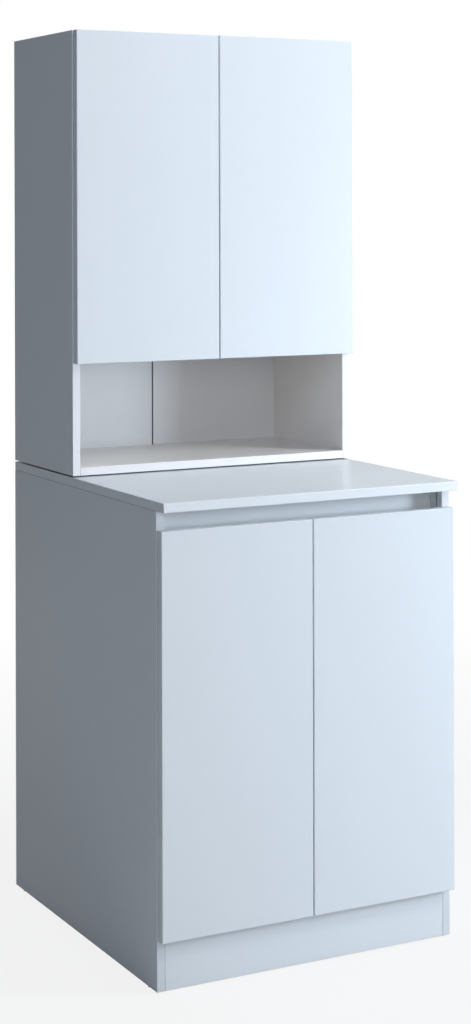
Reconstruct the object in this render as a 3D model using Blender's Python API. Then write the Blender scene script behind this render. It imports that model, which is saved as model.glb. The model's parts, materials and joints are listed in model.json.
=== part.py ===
# Washing machine cabinet: a floor unit with two doors over the machine bay, and a
# shallow wall-side unit with an open niche and two doors, which stands on its worktop.
# Metres, +Z up. X = 0 is the middle of the width, Y = 0 the middle of the depth over
# the worktop, Z = 0 the floor. The doors face -Y.

import math

import bmesh
import bpy
from mathutils import Matrix, Vector

# Whole cabinet
CABINET_WIDTH = 0.640
LOWER_DEPTH = 0.688
WORKTOP_HEIGHT = 0.900
WORKTOP_OVERHANG = 0.032
UPPER_DEPTH = 0.308
TOTAL_HEIGHT = 1.791

# Board thicknesses
CARCASS_BOARD = 0.016
DOOR_BOARD = 0.018
WORKTOP_BOARD = 0.018
BACK_SHEET = 0.003
EDGE_ROUND = 0.0008
SEAT_GAP = 0.0003

# Lower unit
PLINTH_TOP = 0.100
GRIP_RAIL_SETBACK = 0.040
GRIP_RAIL_HEIGHT = 0.080
REAR_RAIL_WIDTH = 0.100
LOWER_DOOR_BOTTOM = 0.097
GRIP_RECESS_HEIGHT = 0.035

# Upper unit; the niche is measured from the worktop to the upper doors
NICHE_HEIGHT = 0.227
REBATE_DEPTH = 0.007
REBATE_WIDTH = 0.008
BACK_SEAM_WIDTH = 0.003
BACK_EDGE_MARGIN = 0.001
JOINT_STRIP_WIDTH = 0.024
JOINT_STRIP_THICKNESS = 0.003
LOOSE_SHELF_SETBACK = 0.030
LOOSE_SHELF_SIDE_CLEARANCE = 0.001
LOOSE_SHELF_HEIGHT_SHARE = 0.5

# Gaps round the doors
DOOR_GAP = 0.002
DOOR_REVEAL = 0.0015
DOOR_SPLIT = 0.003

# Glides under the floor unit, pads and screws between the two units
GLIDE_RADIUS = 0.007
GLIDE_THICKNESS = 0.0025
GLIDE_INSET = 0.040
PAD_RADIUS = 0.010
PAD_THICKNESS = 0.0025
PAD_SIDE_INSET = 0.040
PAD_END_INSET = 0.040
SCREW_RADIUS = 0.002
SCREW_HEAD_RADIUS = 0.004
SCREW_HEAD_HEIGHT = 0.0024
SCREW_GRIP = 0.010

# Shelf pins
PIN_RADIUS = 0.0025
PIN_HEAD_RADIUS = 0.0035
PIN_DEPTH = 0.008
PIN_REACH = 0.008
PIN_INSET = 0.037

# Wall brackets under the top of the upper unit
BRACKET_LEG = 0.040
BRACKET_WIDTH = 0.030
BRACKET_THICKNESS = 0.002
BRACKET_HOLE_RADIUS = 0.0025
BRACKET_INSET = 0.060

# Concealed hinges, two to a door
HINGE_END_DISTANCE = 0.090
AXIS_INSET = 0.0055
BORE_RADIUS = 0.0175
BORE_DEPTH = 0.012
BORE_EDGE_DISTANCE = 0.003
CUP_WALL = 0.0008
FLANGE_THICKNESS = 0.001
FLANGE_LIP = 0.001
FLANGE_LENGTH = 0.057
FLANGE_BAR_WIDTH = 0.012
FLANGE_BAR_OFFSET = 0.0095
NOSE_STANDOFF = 0.0097
NOSE_REACH = 0.0077
NOSE_PIN_RADIUS = 0.0015
CHEEK_RADIUS = 0.0032
CHEEK_THICKNESS = 0.0012
CHEEK_SPACING = 0.012
NOSE_NECK = 0.003
ARM_LENGTH = 0.062
PLATE_THICKNESS = 0.002
PLATE_LENGTH = 0.040
PLATE_WIDTH = 0.016
PLATE_WING_LENGTH = 0.011
PLATE_WING_SPAN = 0.044
PLATE_SETBACK = 0.037
LINK_THICKNESS = 0.0016
LINK_HEIGHT = 0.008
LINK_SAG = 0.0036
LINK_BARREL_WALL = 0.0012
LINK_TIP_RADIUS = 0.0014
LINK_TIP_OFFSET = 0.01215
LINK_TIP_DEPTH = 0.0055

# Counts and overruns of the modelling itself
BORE_SEGMENTS = 32
ROUND_SEGMENTS = 16
ARC_STEPS = 8
ROUND_PROFILE_SHARE = 0.5
CUT_OVERRUN = 0.001
SHARP_ANGLE = math.radians(30)

# Colours as red, green, blue, with roughness and metallic value
LAMINATE = ("white_laminate", (0.80, 0.84, 0.88), 0.45, 0.0)
BACKING = ("white_backing_sheet", (0.74, 0.77, 0.80), 0.55, 0.0)
RAW_FIBREBOARD = ("raw_fibreboard", (0.25, 0.20, 0.16), 0.85, 0.0)
STEEL = ("nickel_plated_steel", (0.62, 0.62, 0.60), 0.28, 1.0)
ZINC = ("zinc_plated_steel", (0.55, 0.57, 0.60), 0.38, 1.0)
PLASTIC = ("white_plastic", (0.80, 0.80, 0.79), 0.40, 0.0)
FELT = ("grey_felt", (0.30, 0.30, 0.31), 0.95, 0.0)

LEFT = -1
RIGHT = 1
SIDE_NAMES = {LEFT: "left", RIGHT: "right"}

# Levels and planes that several pieces share
HALF_WIDTH = CABINET_WIDTH / 2
INNER_HALF_WIDTH = HALF_WIDTH - CARCASS_BOARD
LOWER_FRONT = -(LOWER_DEPTH - WORKTOP_OVERHANG) / 2
REAR = LOWER_FRONT + LOWER_DEPTH
UPPER_FRONT = REAR - UPPER_DEPTH
LOWER_BASE = GLIDE_THICKNESS + SEAT_GAP
WORKTOP_UNDERSIDE = WORKTOP_HEIGHT - WORKTOP_BOARD
LOWER_DOOR_TOP = WORKTOP_UNDERSIDE - GRIP_RECESS_HEIGHT
UPPER_BASE = WORKTOP_HEIGHT + PAD_THICKNESS + 2 * SEAT_GAP
NICHE_FLOOR_TOP = UPPER_BASE + CARCASS_BOARD
UPPER_DOOR_HEIGHT = TOTAL_HEIGHT - WORKTOP_HEIGHT - NICHE_HEIGHT
UPPER_DOOR_BOTTOM = TOTAL_HEIGHT - UPPER_DOOR_HEIGHT
FIXED_SHELF_TOP = UPPER_DOOR_BOTTOM + CARCASS_BOARD
TOP_UNDERSIDE = TOTAL_HEIGHT - CARCASS_BOARD
BACK_FRONT = REAR - REBATE_DEPTH + SEAT_GAP
BOARD_REAR = REAR - REBATE_DEPTH
LOOSE_SHELF_LEVEL = FIXED_SHELF_TOP + (TOP_UNDERSIDE - FIXED_SHELF_TOP) * LOOSE_SHELF_HEIGHT_SHARE

# Hinge section: distance in from the side's outer face, distance behind its front edge
HINGE_AXIS = (DOOR_REVEAL + AXIS_INSET, -DOOR_GAP - DOOR_BOARD / 2)
CUP_CENTRE = (DOOR_REVEAL + BORE_EDGE_DISTANCE + BORE_RADIUS, -DOOR_GAP)
NOSE_PIN = (CARCASS_BOARD + NOSE_STANDOFF, -NOSE_REACH)
LINK_TIP = (CUP_CENTRE[0] - LINK_TIP_OFFSET, -DOOR_GAP - LINK_TIP_DEPTH)


def clear_scene():
    for item in list(bpy.data.objects):
        bpy.data.objects.remove(item)


def make_material(recipe):
    name, colour, roughness, metallic = recipe
    if name in bpy.data.materials:
        return bpy.data.materials[name]
    material = bpy.data.materials.new(name)
    material.use_nodes = True
    shader = material.node_tree.nodes["Principled BSDF"]
    shader.inputs["Base Color"].default_value = (*colour, 1)
    shader.inputs["Roughness"].default_value = roughness
    shader.inputs["Metallic"].default_value = metallic
    return material


def object_from(bm, name):
    bmesh.ops.recalc_face_normals(bm, faces=bm.faces)
    mesh = bpy.data.meshes.new(name)
    bm.to_mesh(mesh)
    bm.free()
    item = bpy.data.objects.new(name, mesh)
    bpy.context.scene.collection.objects.link(item)
    return item


def box(name, low, high, edge_round=0.0):
    # A block between two corners, with its edges rounded off if asked
    low = Vector(low)
    high = Vector(high)
    bm = bmesh.new()
    placing = Matrix.Translation((low + high) / 2) @ Matrix.Diagonal((*(high - low), 1))
    bmesh.ops.create_cube(bm, size=1, matrix=placing)
    if edge_round:
        bmesh.ops.bevel(
            bm, geom=bm.edges, offset=edge_round, segments=1, profile=ROUND_PROFILE_SHARE,
            affect="EDGES", material=-1,
        )
    return object_from(bm, name)


def board(name, low, high):
    return box(name, low, high, EDGE_ROUND)


def cylinder(name, radius, start, end, segments=ROUND_SEGMENTS):
    # A round bar between two points
    start = Vector(start)
    end = Vector(end)
    along = end - start
    turn = along.to_track_quat("Z", "Y").to_matrix().to_4x4()
    bm = bmesh.new()
    bmesh.ops.create_cone(
        bm, cap_ends=True, segments=segments, radius1=radius, radius2=radius,
        depth=along.length, matrix=Matrix.Translation((start + end) / 2) @ turn,
    )
    return object_from(bm, name)


def prism(name, outline, bottom, top):
    # A flat outline in X and Y, raised from one height to another
    bm = bmesh.new()
    face = bm.faces.new([bm.verts.new((x, y, bottom)) for x, y in outline])
    raised = bmesh.ops.extrude_face_region(bm, geom=[face])
    moved = [item for item in raised["geom"] if isinstance(item, bmesh.types.BMVert)]
    bmesh.ops.translate(bm, verts=moved, vec=(0, 0, top - bottom))
    return object_from(bm, name)


def combine(target, other, operation):
    # The other piece is joined to the target or cut from it, and used up
    modifier = target.modifiers.new(operation, "BOOLEAN")
    modifier.operation = operation
    modifier.solver = "EXACT"
    modifier.object = other
    depsgraph = bpy.context.evaluated_depsgraph_get()
    mesh = bpy.data.meshes.new_from_object(target.evaluated_get(depsgraph))
    target.modifiers.clear()
    target.data = mesh
    bpy.data.objects.remove(other)
    return target


def join(target, other):
    return combine(target, other, "UNION")


def cut(target, other):
    return combine(target, other, "DIFFERENCE")


def make_empty(name, location):
    item = bpy.data.objects.new(name, None)
    item.location = location
    bpy.context.scene.collection.objects.link(item)
    return item


def finish(item, recipe, origin, parent=None):
    # The mesh was drawn in place: its origin moves to a natural point and it is placed there
    origin = Vector(origin)
    item.data.transform(Matrix.Translation(-origin))
    item.parent = parent
    item.location = origin - parent.location if parent else origin
    item.data.materials.clear()
    item.data.materials.append(make_material(recipe))
    item.data.shade_smooth()
    item.data.set_sharp_from_angle(angle=SHARP_ANGLE)
    return item


def side_x(side, inset):
    # X at a distance in from the outer face of the left or right side
    return side * (HALF_WIDTH - inset)


def span(first, second):
    return min(first, second), max(first, second)


def lower_side(side, parent):
    low_x, high_x = span(side_x(side, 0), side_x(side, CARCASS_BOARD))
    piece = board(
        f"lower_side_{SIDE_NAMES[side]}",
        (low_x, LOWER_FRONT, LOWER_BASE),
        (high_x, REAR, WORKTOP_UNDERSIDE - SEAT_GAP),
    )
    finish(piece, LAMINATE, (side_x(side, 0), LOWER_FRONT, LOWER_BASE), parent)


def between_sides(name, low_y, high_y, low_z, high_z):
    # A carcass board that spans the inside width
    reach = INNER_HALF_WIDTH - SEAT_GAP
    return board(name, (-reach, low_y, low_z), (reach, high_y, high_z))


def plinth(parent):
    piece = between_sides(
        "plinth", LOWER_FRONT, LOWER_FRONT + CARCASS_BOARD, LOWER_BASE, PLINTH_TOP,
    )
    finish(piece, LAMINATE, (0, LOWER_FRONT, LOWER_BASE), parent)


def grip_rail(parent):
    front = LOWER_FRONT + GRIP_RAIL_SETBACK
    top = WORKTOP_UNDERSIDE - SEAT_GAP
    piece = between_sides("grip_rail", front, front + CARCASS_BOARD, top - GRIP_RAIL_HEIGHT, top)
    finish(piece, LAMINATE, (0, front, top), parent)


def rear_rail(parent):
    top = WORKTOP_UNDERSIDE - SEAT_GAP
    piece = between_sides("rear_rail", REAR - REAR_RAIL_WIDTH, REAR, top - CARCASS_BOARD, top)
    finish(piece, LAMINATE, (0, REAR, top), parent)


def joint_places():
    # Where the pads between the two units lie: (x, y, whether a screw goes through)
    reach = INNER_HALF_WIDTH - PAD_SIDE_INSET
    front = UPPER_FRONT + PAD_END_INSET
    rear = REAR - PAD_END_INSET
    return [(-reach, front, True), (reach, front, True), (-reach, rear, False), (reach, rear, False)]


def worktop(parent):
    piece = board(
        "worktop",
        (-HALF_WIDTH, LOWER_FRONT - WORKTOP_OVERHANG, WORKTOP_UNDERSIDE),
        (HALF_WIDTH, REAR, WORKTOP_HEIGHT),
    )
    for x, y, screwed in joint_places():
        if screwed:
            hole = cylinder(
                "hole", SCREW_RADIUS + SEAT_GAP,
                (x, y, WORKTOP_UNDERSIDE - CUT_OVERRUN), (x, y, WORKTOP_HEIGHT + CUT_OVERRUN),
            )
            cut(piece, hole)
    finish(piece, LAMINATE, (0, LOWER_FRONT, WORKTOP_HEIGHT), parent)


def glides(parent):
    ends = {"front": LOWER_FRONT + GLIDE_INSET, "rear": REAR - GLIDE_INSET}
    for side in (LEFT, RIGHT):
        x = side_x(side, CARCASS_BOARD / 2)
        for end, y in ends.items():
            piece = cylinder(
                f"glide_{end}_{SIDE_NAMES[side]}", GLIDE_RADIUS, (x, y, 0), (x, y, GLIDE_THICKNESS),
            )
            finish(piece, PLASTIC, (x, y, 0), parent)


def upper_side(side, parent):
    low_x, high_x = span(side_x(side, 0), side_x(side, CARCASS_BOARD))
    piece = board(
        f"upper_side_{SIDE_NAMES[side]}",
        (low_x, UPPER_FRONT, UPPER_BASE), (high_x, REAR, TOTAL_HEIGHT),
    )
    rebate_low, rebate_high = span(
        side_x(side, CARCASS_BOARD - REBATE_WIDTH), side_x(side, CARCASS_BOARD + CUT_OVERRUN),
    )
    rebate = box(
        "rebate",
        (rebate_low, REAR - REBATE_DEPTH, UPPER_BASE - CUT_OVERRUN),
        (rebate_high, REAR + CUT_OVERRUN, TOTAL_HEIGHT + CUT_OVERRUN),
    )
    cut(piece, rebate)
    for y in shelf_pin_rows():
        hole = cylinder(
            "hole", PIN_RADIUS + SEAT_GAP,
            (side_x(side, CARCASS_BOARD - PIN_DEPTH - SEAT_GAP), y, shelf_pin_level()),
            (side_x(side, CARCASS_BOARD + CUT_OVERRUN), y, shelf_pin_level()),
        )
        cut(piece, hole)
    finish(piece, LAMINATE, (side_x(side, 0), UPPER_FRONT, UPPER_BASE), parent)


def upper_top(parent):
    piece = between_sides("upper_top", UPPER_FRONT, BOARD_REAR, TOP_UNDERSIDE, TOTAL_HEIGHT)
    finish(piece, LAMINATE, (0, UPPER_FRONT, TOTAL_HEIGHT), parent)


def niche_floor(parent):
    piece = between_sides("niche_floor", UPPER_FRONT, BOARD_REAR, UPPER_BASE, NICHE_FLOOR_TOP)
    for x, y, screwed in joint_places():
        if screwed:
            hole = cylinder(
                "hole", SCREW_RADIUS + SEAT_GAP,
                (x, y, UPPER_BASE - CUT_OVERRUN), (x, y, UPPER_BASE + SCREW_GRIP + SEAT_GAP),
            )
            cut(piece, hole)
    finish(piece, LAMINATE, (0, UPPER_FRONT, UPPER_BASE), parent)


def fixed_shelf(parent):
    piece = between_sides(
        "fixed_shelf", UPPER_FRONT, BOARD_REAR, UPPER_DOOR_BOTTOM, FIXED_SHELF_TOP,
    )
    finish(piece, LAMINATE, (0, UPPER_FRONT, UPPER_DOOR_BOTTOM), parent)


def shelf_pin_rows():
    front = UPPER_FRONT + LOOSE_SHELF_SETBACK + PIN_INSET
    return [front, BOARD_REAR - PIN_INSET]


def shelf_pin_level():
    return LOOSE_SHELF_LEVEL - SEAT_GAP - PIN_HEAD_RADIUS


def loose_shelf(parent):
    reach = INNER_HALF_WIDTH - LOOSE_SHELF_SIDE_CLEARANCE
    front = UPPER_FRONT + LOOSE_SHELF_SETBACK
    piece = board(
        "loose_shelf",
        (-reach, front, LOOSE_SHELF_LEVEL),
        (reach, BOARD_REAR, LOOSE_SHELF_LEVEL + CARCASS_BOARD),
    )
    finish(piece, LAMINATE, (0, front, LOOSE_SHELF_LEVEL), parent)


def shelf_pins(parent):
    for side in (LEFT, RIGHT):
        for end, y in zip(("front", "rear"), shelf_pin_rows()):
            level = shelf_pin_level()
            face = side_x(side, CARCASS_BOARD)
            shank = cylinder(
                f"shelf_pin_{end}_{SIDE_NAMES[side]}", PIN_RADIUS,
                (side_x(side, CARCASS_BOARD - PIN_DEPTH), y, level),
                (side_x(side, CARCASS_BOARD + PIN_REACH / 2), y, level),
            )
            head = cylinder(
                "head", PIN_HEAD_RADIUS,
                (side_x(side, CARCASS_BOARD + SEAT_GAP), y, level),
                (side_x(side, CARCASS_BOARD + PIN_REACH), y, level),
            )
            join(shank, head)
            finish(shank, ZINC, (face, y, level), parent)


def back_sheets(parent):
    # Two sheets in the sides' rebates, with a narrow seam between them in the middle
    outer = INNER_HALF_WIDTH + REBATE_WIDTH - SEAT_GAP
    for side in (LEFT, RIGHT):
        low_x, high_x = span(side * outer, side * BACK_SEAM_WIDTH / 2)
        piece = box(
            f"back_sheet_{SIDE_NAMES[side]}",
            (low_x, BACK_FRONT, UPPER_BASE + BACK_EDGE_MARGIN),
            (high_x, BACK_FRONT + BACK_SHEET, TOTAL_HEIGHT - BACK_EDGE_MARGIN),
        )
        finish(piece, BACKING, (side * outer, BACK_FRONT, UPPER_BASE), parent)


def back_joint_strip(parent):
    front = BACK_FRONT + BACK_SHEET + SEAT_GAP
    piece = box(
        "back_joint_strip",
        (-JOINT_STRIP_WIDTH / 2, front, UPPER_BASE + BACK_EDGE_MARGIN),
        (JOINT_STRIP_WIDTH / 2, front + JOINT_STRIP_THICKNESS, TOTAL_HEIGHT - BACK_EDGE_MARGIN),
    )
    finish(piece, RAW_FIBREBOARD, (0, front, UPPER_BASE), parent)


def joining_pads_and_screws(parent):
    ends = ("front_left", "front_right", "rear_left", "rear_right")
    bottom = WORKTOP_HEIGHT + SEAT_GAP
    for end, (x, y, screwed) in zip(ends, joint_places()):
        pad = cylinder(f"pad_{end}", PAD_RADIUS, (x, y, bottom), (x, y, bottom + PAD_THICKNESS))
        if screwed:
            hole = cylinder(
                "hole", SCREW_RADIUS + SEAT_GAP,
                (x, y, bottom - CUT_OVERRUN), (x, y, bottom + PAD_THICKNESS + CUT_OVERRUN),
            )
            cut(pad, hole)
            joining_screw(end, x, y, parent)
        finish(pad, FELT, (x, y, bottom), parent)


def joining_screw(end, x, y, parent):
    seat = WORKTOP_UNDERSIDE - SEAT_GAP
    screw = cylinder(
        f"joining_screw_{end}", SCREW_HEAD_RADIUS, (x, y, seat - SCREW_HEAD_HEIGHT), (x, y, seat),
    )
    shank = cylinder(
        "shank", SCREW_RADIUS, (x, y, seat - SCREW_HEAD_HEIGHT / 2), (x, y, UPPER_BASE + SCREW_GRIP),
    )
    join(screw, shank)
    finish(screw, ZINC, (x, y, seat), parent)


def wall_bracket(side, parent):
    # An angle under the top board, its upright leg against the back sheet
    rear = BACK_FRONT - SEAT_GAP
    top = TOP_UNDERSIDE - SEAT_GAP
    middle = side_x(side, CARCASS_BOARD + BRACKET_INSET)
    low_x = middle - BRACKET_WIDTH / 2
    high_x = middle + BRACKET_WIDTH / 2
    piece = box(
        f"wall_bracket_{SIDE_NAMES[side]}",
        (low_x, rear - BRACKET_LEG, top - BRACKET_THICKNESS), (high_x, rear, top),
    )
    upright = box(
        "upright",
        (low_x, rear - BRACKET_THICKNESS, top - BRACKET_LEG),
        (high_x, rear, top - BRACKET_THICKNESS / 2),
    )
    join(piece, upright)
    board_hole = cylinder(
        "hole", BRACKET_HOLE_RADIUS,
        (middle, rear - BRACKET_LEG / 2, top - BRACKET_THICKNESS - CUT_OVERRUN),
        (middle, rear - BRACKET_LEG / 2, top + CUT_OVERRUN),
    )
    wall_hole = cylinder(
        "hole", BRACKET_HOLE_RADIUS,
        (middle, rear - BRACKET_THICKNESS - CUT_OVERRUN, top - BRACKET_LEG / 2),
        (middle, rear + CUT_OVERRUN, top - BRACKET_LEG / 2),
    )
    cut(piece, board_hole)
    cut(piece, wall_hole)
    finish(piece, ZINC, (middle, rear, top), parent)


def hinge_frame(side, front, level):
    # From the hinge section at the left side to its place on the left or right side
    mirror = Matrix.Diagonal((-side, 1, 1, 1))
    return Matrix.Translation((side * HALF_WIDTH, front, level)) @ mirror


def put_hinge_piece(item, name, side, front, level):
    item.name = name
    item.data.transform(hinge_frame(side, front, level))
    if side == RIGHT:
        item.data.flip_normals()
    return item


def hinge_point(section_point, side, front, level):
    return hinge_frame(side, front, level) @ Vector((*section_point, 0))


def hinge_cup():
    # A drawn cup that sits in the door's bore, with its flange on the door's inner face
    x, mouth = CUP_CENTRE
    radius = BORE_RADIUS - SEAT_GAP
    bottom = mouth - BORE_DEPTH + SEAT_GAP
    seat = mouth + SEAT_GAP
    brim = seat + FLANGE_THICKNESS
    piece = cylinder("cup", radius, (x, bottom, 0), (x, brim, 0), BORE_SEGMENTS)
    disc = cylinder("disc", radius + FLANGE_LIP, (x, seat, 0), (x, brim, 0), BORE_SEGMENTS)
    join(piece, disc)
    bar_x = x + FLANGE_BAR_OFFSET
    bar = box(
        "bar",
        (bar_x - FLANGE_BAR_WIDTH / 2, seat, -FLANGE_LENGTH / 2),
        (bar_x + FLANGE_BAR_WIDTH / 2, brim, FLANGE_LENGTH / 2),
    )
    join(piece, bar)
    hollow = cylinder(
        "hollow", radius - CUP_WALL,
        (x, bottom + CUP_WALL, 0), (x, brim + CUT_OVERRUN, 0), BORE_SEGMENTS,
    )
    cut(piece, hollow)
    # On the side of the door's edge the cup ends flush with the door, clear of the carcass
    reach = radius + FLANGE_LIP + CUT_OVERRUN
    edge_side = box("edge_side", (x - reach, mouth, -reach), (x, brim + CUT_OVERRUN, reach))
    return cut(piece, edge_side)


def arm_cheek(side_of_pin):
    # One upright wall of the arm, from its rear end to the round nose that holds the pin
    inner = CHEEK_SPACING / 2
    outer = inner + CHEEK_THICKNESS
    foot = CARCASS_BOARD + SEAT_GAP + PLATE_THICKNESS / 2
    top = NOSE_PIN[0] + CHEEK_RADIUS
    nose = [
        (
            NOSE_PIN[0] + CHEEK_RADIUS * math.cos(angle),
            NOSE_PIN[1] + CHEEK_RADIUS * math.sin(angle),
        )
        for angle in (-math.pi * step / ARC_STEPS for step in range(ARC_STEPS + 1))
    ]
    outline = [(top, ARM_LENGTH), *nose, (foot, NOSE_NECK), (foot, ARM_LENGTH)]
    low, high = span(side_of_pin * inner, side_of_pin * outer)
    return prism("cheek", outline, low, high)


def hinge_arm():
    # A channel on its mounting plate, with the nose pin between the cheeks
    half_width = CHEEK_SPACING / 2 + CHEEK_THICKNESS
    seat = CARCASS_BOARD + SEAT_GAP
    top = NOSE_PIN[0] + CHEEK_RADIUS
    piece = box(
        "plate",
        (seat, ARM_LENGTH - PLATE_LENGTH, -PLATE_WIDTH / 2),
        (seat + PLATE_THICKNESS, ARM_LENGTH, PLATE_WIDTH / 2),
    )
    wings = box(
        "wings",
        (seat, PLATE_SETBACK - PLATE_WING_LENGTH / 2, -PLATE_WING_SPAN / 2),
        (seat + PLATE_THICKNESS, PLATE_SETBACK + PLATE_WING_LENGTH / 2, PLATE_WING_SPAN / 2),
    )
    join(piece, wings)
    web = box(
        "web",
        (top - CHEEK_THICKNESS, NOSE_NECK, -half_width), (top, ARM_LENGTH, half_width),
    )
    join(piece, web)
    for side_of_pin in (-1, 1):
        join(piece, arm_cheek(side_of_pin))
    reach = CHEEK_SPACING / 2 + CHEEK_THICKNESS / 2
    pin = cylinder("pin", NOSE_PIN_RADIUS, (*NOSE_PIN, -reach), (*NOSE_PIN, reach))
    return join(piece, pin)


def link_outline():
    # A strip bent on an arc from the nose pin to the link's tip, bulging into the cup
    start = Vector(NOSE_PIN)
    end = Vector(LINK_TIP)
    chord = end - start
    radius = (chord.length ** 2 / 4 + LINK_SAG ** 2) / (2 * LINK_SAG)
    outward = Vector((chord.y, -chord.x)).normalized()
    if outward.y > 0:
        outward = -outward
    centre = (start + end) / 2 - outward * (radius - LINK_SAG)
    half_angle = math.asin(chord.length / 2 / radius)
    middle = math.atan2(outward.y, outward.x)
    angles = [middle + half_angle * (2 * step / ARC_STEPS - 1) for step in range(ARC_STEPS + 1)]

    def arc(distance, turned):
        return [
            (centre.x + distance * math.cos(angle), centre.y + distance * math.sin(angle))
            for angle in turned
        ]

    return arc(radius + LINK_THICKNESS / 2, angles) + arc(radius - LINK_THICKNESS / 2, angles[::-1])


def hinge_link():
    # The link turns on the nose pin; its other end lies loose in the cup
    half = LINK_HEIGHT / 2
    bore = NOSE_PIN_RADIUS + SEAT_GAP
    piece = prism("link", link_outline(), -half, half)
    barrel = cylinder("barrel", bore + LINK_BARREL_WALL, (*NOSE_PIN, -half), (*NOSE_PIN, half))
    join(piece, barrel)
    tip = cylinder("tip", LINK_TIP_RADIUS, (*LINK_TIP, -half), (*LINK_TIP, half))
    join(piece, tip)
    pin_hole = cylinder(
        "hole", bore, (*NOSE_PIN, -half - CUT_OVERRUN), (*NOSE_PIN, half + CUT_OVERRUN),
    )
    return cut(piece, pin_hole)


def door_with_hinges(unit, side, front, bottom, top, carcass):
    # The door hangs on one upright axis; its cups turn with it, its arms stay on the side
    name = f"{unit}_door_{SIDE_NAMES[side]}"
    levels = {"lower": bottom + HINGE_END_DISTANCE, "upper": top - HINGE_END_DISTANCE}
    axis = make_empty(f"{name}_axis", hinge_point(HINGE_AXIS, side, front, (bottom + top) / 2))
    low_x, high_x = span(side_x(side, DOOR_REVEAL), side * DOOR_SPLIT / 2)
    inner_face = front - DOOR_GAP
    door = board(name, (low_x, inner_face - DOOR_BOARD, bottom), (high_x, inner_face, top))
    for place, level in levels.items():
        x, y, z = hinge_point(CUP_CENTRE, side, front, level)
        bore = cylinder(
            "bore", BORE_RADIUS, (x, y - BORE_DEPTH, z), (x, y + CUT_OVERRUN, z), BORE_SEGMENTS,
        )
        cut(door, bore)
        label = f"{unit}_{SIDE_NAMES[side]}_{place}"
        cup = put_hinge_piece(hinge_cup(), f"hinge_cup_{label}", side, front, level)
        finish(cup, STEEL, (x, y, z), axis)
        arm = put_hinge_piece(hinge_arm(), f"hinge_arm_{label}", side, front, level)
        arm_seat = (CARCASS_BOARD, PLATE_SETBACK)
        finish(arm, STEEL, hinge_point(arm_seat, side, front, level), carcass)
        link = put_hinge_piece(hinge_link(), f"hinge_link_{label}", side, front, level)
        finish(link, STEEL, hinge_point(NOSE_PIN, side, front, level), carcass)
    finish(door, LAMINATE, axis.location, axis)


def lower_unit():
    parent = make_empty("lower_unit", (0, LOWER_FRONT, 0))
    for side in (LEFT, RIGHT):
        lower_side(side, parent)
        door_with_hinges("lower", side, LOWER_FRONT, LOWER_DOOR_BOTTOM, LOWER_DOOR_TOP, parent)
    plinth(parent)
    grip_rail(parent)
    rear_rail(parent)
    worktop(parent)
    glides(parent)


def upper_unit():
    parent = make_empty("upper_unit", (0, UPPER_FRONT, WORKTOP_HEIGHT))
    for side in (LEFT, RIGHT):
        upper_side(side, parent)
        door_with_hinges("upper", side, UPPER_FRONT, UPPER_DOOR_BOTTOM, TOTAL_HEIGHT, parent)
        wall_bracket(side, parent)
    upper_top(parent)
    niche_floor(parent)
    fixed_shelf(parent)
    loose_shelf(parent)
    shelf_pins(parent)
    back_sheets(parent)
    back_joint_strip(parent)
    joining_pads_and_screws(parent)


clear_scene()
lower_unit()
upper_unit()
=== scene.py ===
import json
import math

import bmesh
import bpy
from mathutils import Matrix, Vector

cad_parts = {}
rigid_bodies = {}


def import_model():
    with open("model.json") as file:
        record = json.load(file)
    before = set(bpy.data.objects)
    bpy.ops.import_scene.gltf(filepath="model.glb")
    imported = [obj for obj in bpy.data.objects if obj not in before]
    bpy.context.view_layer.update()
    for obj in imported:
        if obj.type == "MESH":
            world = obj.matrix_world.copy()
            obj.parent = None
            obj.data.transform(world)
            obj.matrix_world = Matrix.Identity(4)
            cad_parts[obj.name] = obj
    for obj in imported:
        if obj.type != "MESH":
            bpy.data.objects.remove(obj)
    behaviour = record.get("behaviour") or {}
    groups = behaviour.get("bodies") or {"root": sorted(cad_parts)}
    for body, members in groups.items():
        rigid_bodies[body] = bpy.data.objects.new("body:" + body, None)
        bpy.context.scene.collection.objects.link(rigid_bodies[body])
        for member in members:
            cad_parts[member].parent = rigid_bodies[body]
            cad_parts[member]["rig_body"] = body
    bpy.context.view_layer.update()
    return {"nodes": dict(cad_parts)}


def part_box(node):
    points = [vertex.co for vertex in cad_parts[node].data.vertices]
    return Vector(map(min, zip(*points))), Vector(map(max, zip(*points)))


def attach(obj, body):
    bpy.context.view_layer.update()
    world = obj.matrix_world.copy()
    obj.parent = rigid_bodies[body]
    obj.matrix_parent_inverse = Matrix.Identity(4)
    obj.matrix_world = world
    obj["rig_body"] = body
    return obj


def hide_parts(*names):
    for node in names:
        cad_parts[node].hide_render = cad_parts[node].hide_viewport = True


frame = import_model()

# Camera, fitted to the photograph's corners: metres and degrees in the cabinet's frame
CAMERA_PLACE = (-1.9456, -3.7062, 1.4291)
CAMERA_HEADING = 27.938
CAMERA_ROLL = -0.145
LONG_SIDE_PIXELS = 1024
FOCAL_PIXELS = 2052.1
HORIZON_PIXEL = 211.45
SENSOR_WIDTH = 36.0

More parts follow.
